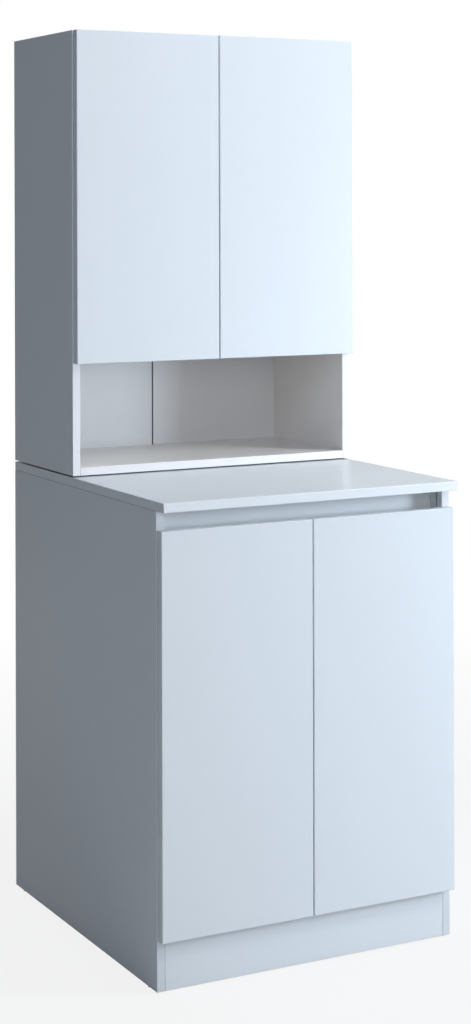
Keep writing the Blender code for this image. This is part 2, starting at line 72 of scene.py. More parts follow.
# Colours as red, green, blue
MELAMINE_WHITE = (0.785, 0.815, 0.842)
# Warmer white for the faces inside the upper unit: painted warm light, standing in for warm light
# bounced round the niche
INSIDE_WHITE_PAINTED_WARM_LIGHT = (0.845, 0.812, 0.785)
# The edge band is a real plastic strip; its white, lighter than the faces, is a painted highlight along
# the edges
BAND_WHITE_PAINTED_HIGHLIGHT = (0.840, 0.870, 0.895)
# Darker band on the lower sides' front edges: painted shade
LOWER_BAND_WHITE_PAINTED_SHADE = (0.735, 0.760, 0.782)
# Brighter, warmer band on the upper unit's front edges: painted highlight and painted warm light
UPPER_BAND_WHITE_PAINTED_LIGHT = (0.910, 0.895, 0.900)
LACQUER_WHITE = (0.750, 0.750, 0.760)
PLASTIC_WHITE = (0.800, 0.800, 0.790)
CHIP_PALE = (0.460, 0.330, 0.210)
CHIP_DARK = (0.170, 0.105, 0.060)
FIBRE_PALE = (0.300, 0.205, 0.125)
FIBRE_DARK = (0.170, 0.108, 0.062)
NICKEL_GREY = (0.640, 0.630, 0.600)
ZINC_GREY = (0.560, 0.580, 0.610)
FELT_GREY = (0.070, 0.070, 0.075)
# Grey front of the joint strip: painted shade, so the seam between the back sheets reads dark
SEAM_GREY_PAINTED_SHADE = (0.105, 0.120, 0.135)
FLOOR_GREY = (0.540, 0.545, 0.550)
PURE_WHITE = (1.0, 1.0, 1.0)

# How strongly boards and sheets mirror what is around them; 0.5 is plain glossy resin
SATIN_SPECULAR = 0.22
INSIDE_SPECULAR = 0.5

# Roughness of the two platings, where they are cleanest and where they are clouded
NICKEL_ROUGHNESS = (0.22, 0.34)
ZINC_ROUGHNESS = (0.32, 0.48)

# Lamps: place, what it looks at, width and height in metres, watts, tint
LAMPS = {
    "key_lamp": ((2.00, -1.70, 1.10), (0.0, 0.0, 1.00), (0.60, 0.60), 37.0, (0.74, 0.87, 1.00)),
    "high_lamp": ((2.60, -2.20, 3.40), (0.0, 0.0, 1.00), (1.00, 1.00), 69.0, (0.95, 0.98, 1.00)),
    "front_lamp": ((-0.60, -5.00, 1.80), (0.0, 0.0, 1.00), (1.50, 1.80), 44.0, (0.98, 0.99, 1.00)),
    "left_lamp": ((-3.20, -2.80, 2.90), (0.0, 0.0, 1.00), (1.50, 1.20), 28.0, (0.68, 0.80, 1.00)),
    "top_lamp": ((0.70, -0.25, 3.77), (0.0, -0.1, 1.00), (1.60, 1.20), 36.6, (0.90, 0.94, 1.00)),
    "rear_lamp": ((0.0, 4.80, 1.50), (0.0, 0.3, 1.00), (0.45, 1.90), 120.0, (0.95, 0.98, 1.00)),
}
# Lamps that nothing mirrors, since pale boards seen at a flat angle would glare white
UNMIRRORED_LAMPS = ("high_lamp", "rear_lamp")
SKY_TINT = (0.70, 0.87, 1.00)
SKY_STRENGTH = 0.020

# White background: its strength in reflections
MIRRORED_WHITE_SHARE = 0.5

# Floor: nearly white to the eye beside the cabinet, quite white further off
FLOOR_REACH = 20.0
FLOOR_ROUGHNESS = 0.9
NEAR_WHITE_SHARE = 0.85
NEAR_RADIUS = 0.9
FAR_RADIUS = 3.0

# Board edges
DOOR_EDGE_RADIUS = 0.0012
CARCASS_EDGE_RADIUS = 0.0005
SHEET_EDGE_RADIUS = 0.00025
ROUND_STEPS = 3
EVEN_PROFILE = 0.5

# A normal whose part along one axis is above the first number belongs to a flat face; one
# above the second leans that way, so a rounded edge counts as part of the faces beside it
FLAT_NORMAL = 0.999
LEANING_NORMAL = 0.3

# Working clearances: how far a cutter runs past a face, how far a seat stays clear
OVERRUN = 0.001
SEAT_GAP = 0.0003
MERGE_DISTANCE = 0.000001

# Rebate for the back sheets, and the joint line of the strip that faces each lower side
REBATE_DEPTH = 0.007
REBATE_WIDTH = 0.008
FACING_STRIP_DEPTH = 0.017
JOINT_LINE_WIDTH = 0.0025
JOINT_LINE_DEPTH = 0.0025

# Sides of round pieces and of holes wider than the given radius, then of small ones
ROUND_SIDES = 32
WIDE_HOLE_RADIUS = 0.00375
SMALL_ROUND_SIDES = 16

# Holes: cup bores, shelf-pin rows, screw holes
CUP_RADIUS = 0.0172
CUP_BORE_RADIUS = 0.0175
CUP_BORE_DEPTH = 0.012
PIN_HOLE_RADIUS = 0.0028
PIN_HOLE_DEPTH = 0.0085
PIN_HOLE_SPACING = 0.032
PIN_HOLES_EACH_WAY = 2
SHANK_HOLE_RADIUS = 0.0023

# Cam fittings and their caps
CAM_RADIUS = 0.0075
CAM_DEPTH = 0.0125
CAM_SUNK = 0.0004
CAM_INSET = 0.034
CAM_END_INSET = 0.070
SLOT_LENGTH_SHARE = 1.3
SLOT_WIDTH_SHARE = 0.22
SLOT_DEPTH_SHARE = 0.25
CAP_RADIUS = 0.0085
CAP_HEIGHT = 0.0012

# Nails of the back sheets
NAIL_RADIUS = 0.0014
NAIL_HEIGHT = 0.0005
NAIL_SPACING = 0.110
NAIL_EDGE_INSET = 0.004

# Screws: head radius and height, then where they sit on hinges and brackets
SCREW_RADIUS = 0.0036
SCREW_HEIGHT = 0.0016
SCREW_RIM = 0.0003
CUP_SCREW_SPACING = 0.045
CUP_SCREW_OFFSET = 0.0095
PLATE_SCREW_SPACING = 0.032
PLATE_SETBACK = 0.037
PLATE_THICKNESS = 0.002
ADJUSTER_SETBACKS = (0.014, 0.050)
ADJUSTER_RADIUS = 0.0030
CROSS_REACH_SHARE = 0.60
CROSS_WIDTH_SHARE = 0.17
CROSS_DEPTH_SHARE = 0.75
BRACKET_THICKNESS = 0.002

# Small turned pieces
DOME_STEPS = 6
GLIDE_RIM = 0.0012
GLIDE_NAIL_RADIUS = 0.0022
GLIDE_NAIL_SUNK = 0.0006
PAD_RIM_ROUND = 0.0005
PIN_SHANK_RADIUS = 0.0025
PIN_HEAD_ROUND = 0.0006
HEAD_SHANK_RADIUS = 0.002

# Words in the nodes' names: both units, their sides, rows from front to rear, and each
# door's two hinges
UNITS = ("lower", "upper")
SIDES = ("left", "right")
ROWS = ("front", "rear")
HINGE_PLACES = ("lower", "upper")

DIRECTIONS = {
    "left": (0, -1), "right": (0, 1), "front": (1, -1),
    "rear": (1, 1), "bottom": (2, -1), "top": (2, 1),
}
INWARD = {"left": Vector((1, 0, 0)), "right": Vector((-1, 0, 0))}
FORWARD = Vector((0, -1, 0))
REARWARD = Vector((0, 1, 0))
DOWN = Vector((0, 0, -1))
UP = Vector((0, 0, 1))

# Places in a board's list of materials
FACE, BAND_PAINTED_HIGHLIGHT, RAW, INSIDE_PAINTED_WARM_LIGHT, LOWER_BAND_PAINTED_SHADE, UPPER_BAND_PAINTED_LIGHT = range(6)


class Signal:
    # A node's output: sums written with it, on either side, add Math nodes to its tree
    def __init__(self, nodes, socket):
        self.nodes = nodes
        self.socket = socket

    def __add__(self, other):
        return self.nodes.maths("ADD", self, other)

    def __radd__(self, other):
        return self.nodes.maths("ADD", other, self)

    def __sub__(self, other):
        return self.nodes.maths("SUBTRACT", self, other)

    def __rsub__(self, other):
        return self.nodes.maths("SUBTRACT", other, self)

    def __mul__(self, other):
        return self.nodes.maths("MULTIPLY", self, other)

    def __rmul__(self, other):
        return self.nodes.maths("MULTIPLY", other, self)


class Nodes:
    # The nodes of a material or of the world
    def __init__(self, owner):
        owner.use_nodes = True
        self.tree = owner.node_tree

    def node(self, kind, settings=None, sockets=None):
        node = self.tree.nodes.new(kind)
        for name, value in (settings or {}).items():
            setattr(node, name, value)
        for name, value in (sockets or {}).items():
            self.feed(node.inputs[name], value)
        return node

    def feed(self, socket, value):
        if isinstance(value, Signal):
            self.tree.links.new(value.socket, socket)
        else:
            socket.default_value = value

    def output(self, node, name):
        return Signal(self, node.outputs[name])

    def maths(self, operation, first, second, clamped=False):
        settings = {"operation": operation, "use_clamp": clamped}
        node = self.node("ShaderNodeMath", settings, {0: first, 1: second})
        return self.output(node, "Value")

    def seen(self):
        # 1 where the eye looks, straight or through a clear pane, and less in a reflection
        path = self.node("ShaderNodeLightPath")
        rays = ("Is Camera Ray", "Is Glossy Ray", "Is Transmission Ray")
        camera, glossy, transmission = (self.output(path, ray) for ray in rays)
        return self.maths("ADD", camera + glossy * MIRRORED_WHITE_SHARE, transmission, clamped=True)

    def mixed_shader(self, share, first, second):
        node = self.node("ShaderNodeMixShader", sockets={0: share, 1: first, 2: second})
        return self.output(node, "Shader")

    def show(self, output_node, shader):
        self.feed(self.tree.nodes[output_node].inputs["Surface"], shader)


class Finish(Nodes):
    # A material; its patterns are laid out in the piece's own coordinates
    def __init__(self, name, roughness=0.5, metallic=0.0, specular=0.5):
        self.material = bpy.data.materials.new(name)
        super().__init__(self.material)
        self.shader = self.tree.nodes["Principled BSDF"]
        self.shader.inputs["Roughness"].default_value = roughness
        self.shader.inputs["Metallic"].default_value = metallic
        self.shader.inputs["Specular IOR Level"].default_value = specular
        self.place = self.output(self.node("ShaderNodeTexCoord"), "Object")

    def stretched(self, scale):
        node = self.node("ShaderNodeMapping", sockets={"Vector": self.place, "Scale": scale})
        return self.output(node, "Vector")

    def noise(self, scale, detail=2.0, roughness=0.5, place=None):
        sockets = {
            "Vector": place or self.place, "Scale": scale, "Detail": detail, "Roughness": roughness,
        }
        return self.output(self.node("ShaderNodeTexNoise", sockets=sockets), "Fac")

    def cell_tints(self, scale, place):
        # A different tint in every cell
        cells = self.node("ShaderNodeTexVoronoi", sockets={"Vector": place, "Scale": scale})
        sockets = {"Color": self.output(cells, "Color")}
        return self.output(self.node("ShaderNodeSeparateColor", sockets=sockets), "Red")

    def blend(self, share, first, second):
        # A node's colour sockets share their names with others, so they go by their places
        sockets = {"Factor": share, 6: self.colour(first), 7: self.colour(second)}
        node = self.node("ShaderNodeMix", {"data_type": "RGBA"}, sockets)
        return Signal(self, node.outputs[2])

    def colour(self, value):
        return value if isinstance(value, Signal) else (*value, 1)

    def graded(self, share, low, high):
        # A value that climbs from low to high as the share goes from 0 to 1
        return low + share * (high - low)

    def raised(self, height, depth, strength=1.0):
        sockets = {"Height": height, "Distance": depth, "Strength": strength}
        bump = self.node("ShaderNodeBump", sockets=sockets)
        self.feed(self.shader.inputs["Normal"], self.output(bump, "Normal"))

    def paint(self, colour, roughness=None):
        self.feed(self.shader.inputs["Base Color"], self.colour(colour))
        if roughness is not None:
            self.feed(self.shader.inputs["Roughness"], roughness)
        return self.material


def shaded(colour, share):
    return tuple(part * share for part in colour)


def melamine(name, tint, specular):
    # Printed paper under clear resin, pressed with a fine pearl texture
    finish = Finish(name, specular=specular)
    drift = finish.noise(scale=1.8)
    mottle = finish.noise(scale=240.0, detail=3.0)
    pearl = finish.noise(scale=900.0)
    finish.raised(pearl, depth=0.00008, strength=0.5)
    return finish.paint(
        colour=finish.blend(drift * 0.6 + mottle * 0.4, shaded(tint, 0.965), shaded(tint, 1.03)),
        roughness=finish.graded(mottle, low=0.26, high=0.36),
    )


def edge_band(name, tint):
    # A thin plastic strip, ironed on and scraped round: smoother than the boards' faces
    finish = Finish(name, specular=SATIN_SPECULAR)
    drift = finish.noise(scale=6.0)
    scrape = finish.noise(scale=700.0, place=finish.stretched((1.0, 1.0, 0.04)))
    finish.raised(scrape, depth=0.00004, strength=0.4)
    return finish.paint(
        colour=finish.blend(drift, shaded(tint, 0.97), tint),
        roughness=finish.graded(scrape, low=0.30, high=0.42),
    )


def chipboard():
    # Pressed chips of several woods, where a board's edge is left bare
    finish = Finish("chipboard")
    lying = finish.stretched((1.0, 1.0, 2.2))
    chips = finish.cell_tints(scale=330.0, place=lying)
    grains = finish.noise(scale=900.0, detail=3.0, place=lying)
    spread = finish.noise(scale=120.0, place=lying)
    tone = chips * 0.55 + grains * 0.25 + spread * 0.2
    finish.raised(tone, depth=0.0004, strength=0.9)
    return finish.paint(
        colour=finish.blend(tone, CHIP_DARK, CHIP_PALE),
        roughness=finish.graded(grains, low=0.75, high=0.95),
    )


def lacquered_sheet(name, tint):
    # One thin coat over smooth fibreboard: the sheets' white front, and the joint strip's grey one,
    # which is painted shade for the dark seam
    finish = Finish(name, specular=SATIN_SPECULAR)
    drift = finish.noise(scale=2.6)
    peel = finish.noise(scale=520.0)
    finish.raised(peel, depth=0.00012, strength=0.5)
    return finish.paint(
        colour=finish.blend(drift, shaded(tint, 0.96), tint),
        roughness=finish.graded(peel, low=0.45, high=0.58),
    )


def bare_fibreboard():
    # The brown back of the thin sheets: felted fibres with darker flecks
    finish = Finish("bare_fibreboard")
    felted = finish.noise(scale=180.0, detail=6.0, roughness=0.65)
    fibres = finish.noise(scale=420.0, detail=3.0, place=finish.stretched((0.25, 1.0, 1.0)))
    drift = finish.noise(scale=3.0)
    finish.raised(felted, depth=0.0002, strength=0.8)
    return finish.paint(
        colour=finish.blend(felted * 0.5 + fibres * 0.3 + drift * 0.2, FIBRE_DARK, FIBRE_PALE),
        roughness=finish.graded(fibres, low=0.7, high=0.9),
    )


def plated_steel(name, tint, roughness_range):
    # Pressed and plated steel: faint drawing lines and clouded plating
    finish = Finish(name, metallic=1.0)
    clouds = finish.noise(scale=160.0, detail=3.0)
    lines = finish.noise(scale=1500.0, place=finish.stretched((1.0, 0.05, 1.0)))
    finish.raised(lines, depth=0.00003, strength=0.5)
    return finish.paint(
        colour=finish.blend(clouds, shaded(tint, 0.85), tint),
        roughness=finish.graded(clouds, *roughness_range),
    )


def moulded_plastic():
    # The caps and glides: matt, with a fine grain from the mould
    finish = Finish("moulded_plastic")
    grain = finish.noise(scale=800.0)
    drift = finish.noise(scale=60.0, detail=1.0)
    finish.raised(grain, depth=0.00006, strength=0.5)
    return finish.paint(
        colour=finish.blend(drift, shaded(PLASTIC_WHITE, 0.95), PLASTIC_WHITE),
        roughness=finish.graded(grain, low=0.34, high=0.46),
    )


def pressed_felt():
    # Short grey fibres in loose tufts
    finish = Finish("pressed_felt")
    fibres = finish.noise(scale=1600.0, detail=4.0, roughness=0.7)
    tufts = finish.noise(scale=500.0)
    finish.raised(fibres, depth=0.0004)
    return finish.paint(
        colour=finish.blend(fibres * 0.6 + tufts * 0.4, shaded(FELT_GREY, 0.5), shaded(FELT_GREY, 1.6)),
        roughness=finish.graded(tufts, low=0.9, high=1.0),
    )


MELAMINE = melamine("white_melamine", MELAMINE_WHITE, SATIN_SPECULAR)
# The inside melamine's warmer white is painted warm light
INSIDE_MELAMINE_PAINTED_WARM_LIGHT = melamine("inside_melamine_painted_warm_light", INSIDE_WHITE_PAINTED_WARM_LIGHT, INSIDE_SPECULAR)
# The edge band's lighter white is a painted highlight along the edges
EDGE_BAND_PAINTED_HIGHLIGHT = edge_band("edge_band", BAND_WHITE_PAINTED_HIGHLIGHT)
# The lower band's darker white is painted shade
LOWER_EDGE_BAND_PAINTED_SHADE = edge_band("lower_edge_band_painted_shade", LOWER_BAND_WHITE_PAINTED_SHADE)
# The upper band's brighter, warmer white is painted highlight and painted warm light
UPPER_EDGE_BAND_PAINTED_LIGHT = edge_band("upper_edge_band_painted_light", UPPER_BAND_WHITE_PAINTED_LIGHT)
CHIPBOARD = chipboard()
LACQUER = lacquered_sheet("white_lacquer", LACQUER_WHITE)
# The joint strip's grey lacquer is painted shade for the seam
SEAM_LACQUER_PAINTED_SHADE = lacquered_sheet("grey_lacquer_painted_shade", SEAM_GREY_PAINTED_SHADE)
FIBREBOARD = bare_fibreboard()
NICKEL = plated_steel("nickel_plate", NICKEL_GREY, NICKEL_ROUGHNESS)
ZINC = plated_steel("zinc_plate", ZINC_GREY, ZINC_ROUGHNESS)
PLASTIC = moulded_plastic()
FELT = pressed_felt()
BOARD_MATERIALS = (MELAMINE, EDGE_BAND_PAINTED_HIGHLIGHT, CHIPBOARD, INSIDE_MELAMINE_PAINTED_WARM_LIGHT, LOWER_EDGE_BAND_PAINTED_SHADE, UPPER_EDGE_BAND_PAINTED_LIGHT)


def mesh_from(bm, name, materials):
    mesh = bpy.data.meshes.new(name)
    bm.to_mesh(mesh)
    bm.free()
    for material in materials:
        mesh.materials.append(material)
    return mesh


def placed(mesh):
    item = bpy.data.objects.new(mesh.name, mesh)
    bpy.context.scene.collection.objects.link(item)
    return item


def piece_from(bm, name, materials, body, stands_for=()):
    # A visual piece that rides on a body and may stand in for CAD nodes
    piece = placed(mesh_from(bm, name, materials))
    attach(piece, body)
    if stands_for:
        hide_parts(*stands_for)
    return piece


def body_of_node(node):
    return frame["nodes"][node]["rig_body"]


def middle_of(node):
    low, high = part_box(node)
    return (low + high) / 2


def inner_end(side, low, high):
    # Where a piece on the given side ends towards the cabinet's middle
    return high.x if side == "left" else low.x


def outer_end(side, low, high):
    return low.x if side == "left" else high.x


def faces_of(normal):
    # The names of the directions that a face leans towards
    return {name for name, (axis, sign) in DIRECTIONS.items() if normal[axis] * sign > LEANING_NORMAL}


def facing(point, direction):
    # A place whose own upward axis points the given way
    return Matrix.Translation(point) @ direction.to_track_quat("Z", "Y").to_matrix().to_4x4()


def block(low, high, radius=0.0):
    # A solid block between two corners, with rounded edges if asked
    bm = bmesh.new()
    placing = Matrix.Translation((low + high) / 2) @ Matrix.Diagonal((*(high - low), 1))
    bmesh.ops.create_cube(bm, size=1, matrix=placing)
    if radius:
        bmesh.ops.bevel(
            bm, geom=bm.edges, offset=radius, segments=ROUND_STEPS, profile=EVEN_PROFILE,
            affect="EDGES", material=-1,
        )
    for face in bm.faces:
        face.smooth = max(abs(part) for part in face.normal) < FLAT_NORMAL
    return bm


def turned(profile, sides=ROUND_SIDES):
    # A profile of (radius, height) spun all round: from the axis out and back to it, or, for a
    # ring, closed on itself
    bm = bmesh.new()
    points = [bm.verts.new((radius, 0, height)) for radius, height in profile]
    edges = [bm.edges.new(pair) for pair in zip(points, points[1:])]
    bmesh.ops.spin(
        bm, geom=points + edges, cent=(0, 0, 0), axis=(0, 0, 1), dvec=(0, 0, 0),
        angle=math.tau, steps=sides, use_merge=True, use_duplicate=False,
    )
    bmesh.ops.remove_doubles(bm, verts=bm.verts, dist=MERGE_DISTANCE)
    bmesh.ops.recalc_face_normals(bm, faces=bm.faces)
    for face in bm.faces:
        face.smooth = abs(face.normal.z) < FLAT_NORMAL
    return bm


def quarter_turn():
    # Angles from straight up to level
    return [math.pi / 2 * step / DOME_STEPS for step in range(DOME_STEPS + 1)]


def dome(radius, height, rim):
    # The profile of a round head: a quarter arc over a short upright rim
    crown = [
        (radius * math.sin(angle), rim + (height - rim) * math.cos(angle)) for angle in quarter_turn()
    ]
    return [*crown, (radius, 0), (0, 0)]


def low_dome(radius, height):
    # A flat head, whose rim takes a third of its height
    return dome(radius, height, height / 3)


def rounded_bar(radius, bottom, top, corner):
    # The profile of a round bar whose top edge is rounded
    inner = radius - corner
    edge = [
        (inner + corner * math.sin(angle), top - corner + corner * math.cos(angle))
        for angle in quarter_turn()
    ]
    return [(0, top), *edge, (radius, bottom), (0, bottom)]


def cut_with(piece, cutter):
    modifier = piece.modifiers.new("cut", "BOOLEAN")
    modifier.operation = "DIFFERENCE"
    modifier.solver = "EXACT"
    modifier.object = cutter
    depsgraph = bpy.context.evaluated_depsgraph_get()
    result = bpy.data.meshes.new_from_object(piece.evaluated_get(depsgraph))
    piece.modifiers.clear()
    piece.data = result
    bpy.data.objects.remove(cutter)


def cut_block(piece, low, high):
    # Takes a block out of a board; the cut shows bare chipboard
    bm = block(low, high)
    for face in bm.faces:
        face.material_index = RAW
    cut_with(piece, placed(mesh_from(bm, "cutter", BOARD_MATERIALS)))


def drill(piece, holes):
    # Round holes: (mouth, direction into the board, radius, depth)
    bm = bmesh.new()
    for mouth, inward, radius, depth in holes:
        sides = ROUND_SIDES if radius > WIDE_HOLE_RADIUS else SMALL_ROUND_SIDES
        made = bmesh.ops.create_cone(
            bm, cap_ends=True, segments=sides, radius1=radius, radius2=radius,
            depth=depth + OVERRUN, matrix=facing(mouth + inward * (depth - OVERRUN) / 2, inward),
        )
        for face in {face for vertex in made["verts"] for face in vertex.link_faces}:
            face.material_index = RAW
            face.smooth = len(face.verts) == 4
    cut_with(piece, placed(mesh_from(bm, "drills", BOARD_MATERIALS)))


def board(node, broad, banded, inside=(), radius=CARCASS_EDGE_RADIUS, band=BAND_PAINTED_HIGHLIGHT):
    # broad: the board's two faces; banded: its finished edges, in the given band; inside: faces
    # that look into the upper unit, in the warmer white that is painted warm light; the other edges are
    # bare
    bm = block(*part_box(node), radius)
    for face in bm.faces:
        towards = faces_of(face.normal)
        if towards & set(banded):
            face.material_index = band
        elif towards & set(inside):
            face.material_index = INSIDE_PAINTED_WARM_LIGHT
        elif towards & set(broad):
            face.material_index = FACE
        else:
            face.material_index = RAW
    return piece_from(bm, f"{node}_board", BOARD_MATERIALS, body_of_node(node), [node])


def make_lower_sides():
    # Each has the joint line of its facing strip, and two cams that hold the worktop
    cams = []
    for side in SIDES:
        node = f"lower_side_{side}"
        # Their front edges take the darker band, which is painted shade
        piece = board(node, SIDES, ("front",), band=LOWER_BAND_PAINTED_SHADE)
        low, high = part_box(node)
        inward = INWARD[side]
        inner = inner_end(side, low, high)
        deep, shallow = sorted((inner - inward.x * JOINT_LINE_DEPTH, inner + inward.x * OVERRUN))
        line = low.y + FACING_STRIP_DEPTH
        cut_block(
            piece, Vector((deep, line, low.z - OVERRUN)),
            Vector((shallow, line + JOINT_LINE_WIDTH, high.z + OVERRUN)),
        )
        mouths = [
            Vector((inner, y, high.z - CAM_INSET))
            for y in (low.y + CAM_END_INSET, high.y - CAM_END_INSET)
        ]
        drill(piece, [(mouth, -inward, CAM_RADIUS, CAM_DEPTH) for mouth in mouths])
        cams.extend(facing(mouth, inward) for mouth in mouths)
    return cams


def make_upper_sides():
    # Each has a rebate for the back sheet, and two rows of holes for the loose shelf's pins
    for side in SIDES:
        node = f"upper_side_{side}"
        # The face towards the middle takes the warmer inside white, painted warm light
        inward_side = "right" if side == "left" else "left"
        # The front and top edges take the brighter band, painted highlight and painted warm light
        piece = board(node, SIDES, ("front", "top"), (inward_side,), band=UPPER_BAND_PAINTED_LIGHT)
        low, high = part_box(node)
        outward = -INWARD[side]
        inner = inner_end(side, low, high)
        near, far = sorted((inner + outward.x * REBATE_WIDTH, inner - outward.x * OVERRUN))
        cut_block(
            piece, Vector((near, high.y - REBATE_DEPTH, low.z - OVERRUN)),
            Vector((far, high.y + OVERRUN, high.z + OVERRUN)),
        )
        holes = []
        for row in ROWS:
            pin = middle_of(f"shelf_pin_{row}_{side}")
            for step in range(-PIN_HOLES_EACH_WAY, PIN_HOLES_EACH_WAY + 1):
                mouth = Vector((inner, pin.y, pin.z + step * PIN_HOLE_SPACING))
                holes.append((mouth, outward, PIN_HOLE_RADIUS, PIN_HOLE_DEPTH))
        drill(piece, holes)


def cams_in_ends(piece, node, level, outward, rows):
    # Cam fittings near a board's two ends, in the face that looks outward
    low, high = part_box(node)
    places = []
    for x in (low.x + CAM_INSET, high.x - CAM_INSET):
        for row in rows:
            places.append(Vector((x, row, level)) if outward.z else Vector((x, level, row)))
    drill(piece, [(place, -outward, CAM_RADIUS, CAM_DEPTH) for place in places])
    return [facing(place, outward) for place in places]


def make_lower_cross_boards():
    plinth = board("plinth", ("front", "rear"), (), radius=DOOR_EDGE_RADIUS)
    low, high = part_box("plinth")
    cams = cams_in_ends(plinth, "plinth", high.y, REARWARD, [(low.z + high.z) / 2])

    grip_rail = board("grip_rail", ("front", "rear"), ("bottom",))
    low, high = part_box("grip_rail")
    cams += cams_in_ends(grip_rail, "grip_rail", high.y, REARWARD, [(low.z + high.z) / 2])

    rear_rail = board("rear_rail", ("bottom", "top"), ("front",))
    low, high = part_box("rear_rail")
    cams += cams_in_ends(rear_rail, "rear_rail", low.z, DOWN, [(low.y + high.y) / 2])
    return cams


def make_upper_cross_boards():
    # The cams of the top board and the fixed shelf are capped
    cams = []
    # The faces inside the upper unit take the warmer white, painted warm light
    for node, inside in (("upper_top", ("bottom",)), ("fixed_shelf", ("bottom", "top"))):
        # Front edges in the brighter band, painted highlight and painted warm light
        piece = board(node, ("bottom", "top"), ("front",), inside, band=UPPER_BAND_PAINTED_LIGHT)
        low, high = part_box(node)
        rows = (low.y + CAM_END_INSET, high.y - CAM_END_INSET)
        cams += cams_in_ends(piece, node, high.z, UP, rows)
    # The loose shelf too: brighter band on its front edge, painted highlight and painted warm light,
    # and warmer white on both faces, painted warm light
    board("loose_shelf", ("bottom", "top"), ("front",), ("bottom", "top"), band=UPPER_BAND_PAINTED_LIGHT)
    return cams


def make_screwed_boards():
    # The worktop and the niche floor, which two screws hold together from below
    ends = ("front", "left", "right")
    worktop = board("worktop", ("bottom", "top"), ends, radius=DOOR_EDGE_RADIUS)
    # The niche floor's front edge takes the brighter band (painted highlight and painted warm light),
    # its top the warmer inside white (painted warm light)
    niche_floor = board("niche_floor", ("bottom", "top"), ("front",), ("top",), band=UPPER_BAND_PAINTED_LIGHT)
    for piece, node, clearance in ((worktop, "worktop", OVERRUN), (niche_floor, "niche_floor", 0)):
        low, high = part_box(node)
        holes = []
        for side in SIDES:
            screw = middle_of(f"joining_screw_front_{side}")
            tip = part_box(f"joining_screw_front_{side}")[1].z
            depth = min(high.z, tip + SEAT_GAP) - low.z + clearance
            holes.append((Vector((screw.x, screw.y, low.z)), UP, SHANK_HOLE_RADIUS, depth))
        drill(piece, holes)


def cup_centre(label):
    # The cup ends flush on the side of the door's edge, so its centre lies one radius from there
    low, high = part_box(f"hinge_cup_{label}")
    x = low.x + CUP_RADIUS if "left" in label else high.x - CUP_RADIUS
    return Vector((x, high.y, (low.z + high.z) / 2))


def make_doors():
    for unit in UNITS:
        for side in SIDES:
            node = f"{unit}_door_{side}"
            edges = ("left", "right", "bottom", "top")
            # Door edges take the lighter band, a painted highlight
            door = board(node, ("front", "rear"), edges, radius=DOOR_EDGE_RADIUS)
            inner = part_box(node)[1].y
            centres = [cup_centre(f"{unit}_{side}_{place}") for place in HINGE_PLACES]
            drill(door, [
                (Vector((centre.x, inner, centre.z)), FORWARD, CUP_BORE_RADIUS, CUP_BORE_DEPTH)
                for centre in centres
            ])


def make_back():
    # White in front, bare behind and at the edges; the strip behind the seam has a grey front, which is
    # painted shade for the dark seam
    panels = {"back_sheet_left": LACQUER, "back_sheet_right": LACQUER, "back_joint_strip": SEAM_LACQUER_PAINTED_SHADE}
    for node, lacquer in panels.items():
        bm = block(*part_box(node), SHEET_EDGE_RADIUS)
        for face in bm.faces:
            face.material_index = 0 if "front" in faces_of(face.normal) else 1
        piece_from(bm, f"{node}_panel", (lacquer, FIBREBOARD), "carcass", [node])


def gathered(template, places):
    # One mesh that repeats a small template at every place
    bm = bmesh.new()
    for place in places:
        start = len(bm.verts)
        bm.from_mesh(template)
        bm.verts.ensure_lookup_table()
        bmesh.ops.transform(bm, matrix=place, verts=bm.verts[start:])
    return bm


def template_with(bm, cutters):
    # A template, once all the cutters have been taken out of it
    item = placed(mesh_from(bm, "template", ()))
    for cutter in cutters:
        cut_with(item, placed(mesh_from(cutter, "cutter", ())))
    mesh = item.data
    bpy.data.objects.remove(item)
    return mesh


def crossing_slots(reach, half, floor, top):
    # Cutters of a cross: its two slots, from their floor up past the head's top
    return [
        block(Vector((-reach, -half, floor)), Vector((reach, half, top))),
        block(Vector((-half, -reach, floor)), Vector((half, reach, top))),
    ]


def cam_template():
    # A zinc disc, sunk a little, with a cross for a screwdriver
    reach = CAM_RADIUS * SLOT_LENGTH_SHARE / 2
    half = CAM_RADIUS * SLOT_WIDTH_SHARE / 2
    disc = turned(rounded_bar(CAM_RADIUS - CAM_SUNK, CAM_SUNK * 2 - CAM_DEPTH, -CAM_SUNK, CAM_SUNK))
    return template_with(disc, crossing_slots(reach, half, -CAM_DEPTH * SLOT_DEPTH_SHARE, OVERRUN))


def screw_template(radius, height):
    # A domed head with a cross cut into it
    reach = radius * CROSS_REACH_SHARE
    half = radius * CROSS_WIDTH_SHARE
    floor = height * (1 - CROSS_DEPTH_SHARE)
    head = turned(dome(radius, height, SCREW_RIM))
    return template_with(head, crossing_slots(reach, half, floor, height + OVERRUN))


def make_cams(cams, capped_cams):
    template = cam_template()
    piece_from(gathered(template, cams + capped_cams), "cam_fittings", (ZINC,), "carcass")
    cap = mesh_from(turned(low_dome(CAP_RADIUS, CAP_HEIGHT)), "cap", ())
    piece_from(gathered(cap, capped_cams), "cam_caps", (PLASTIC,), "carcass")


def nail_rows():
    # Along both upright edges, and into the top, the fixed shelf and the niche floor
    top = middle_of("upper_top").z
    bottom = middle_of("niche_floor").z
    shelf = middle_of("fixed_shelf").z
    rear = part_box("back_sheet_left")[1].y
    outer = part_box("back_sheet_right")[1].x - NAIL_EDGE_INSET
    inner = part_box("back_joint_strip")[1].x + NAIL_EDGE_INSET
    rises = round((top - bottom) / NAIL_SPACING)
    runs = round((outer - inner) / NAIL_SPACING)
    places = []
    for sign in (-1, 1):
        for step in range(1, rises):
            places.append(Vector((sign * outer, rear, bottom + (top - bottom) * step / rises)))
        for level in (bottom, shelf, top):
            for step in range(runs + 1):
                places.append(Vector((sign * (inner + (outer - inner) * step / runs), rear, level)))
    return [facing(place, REARWARD) for place in places]


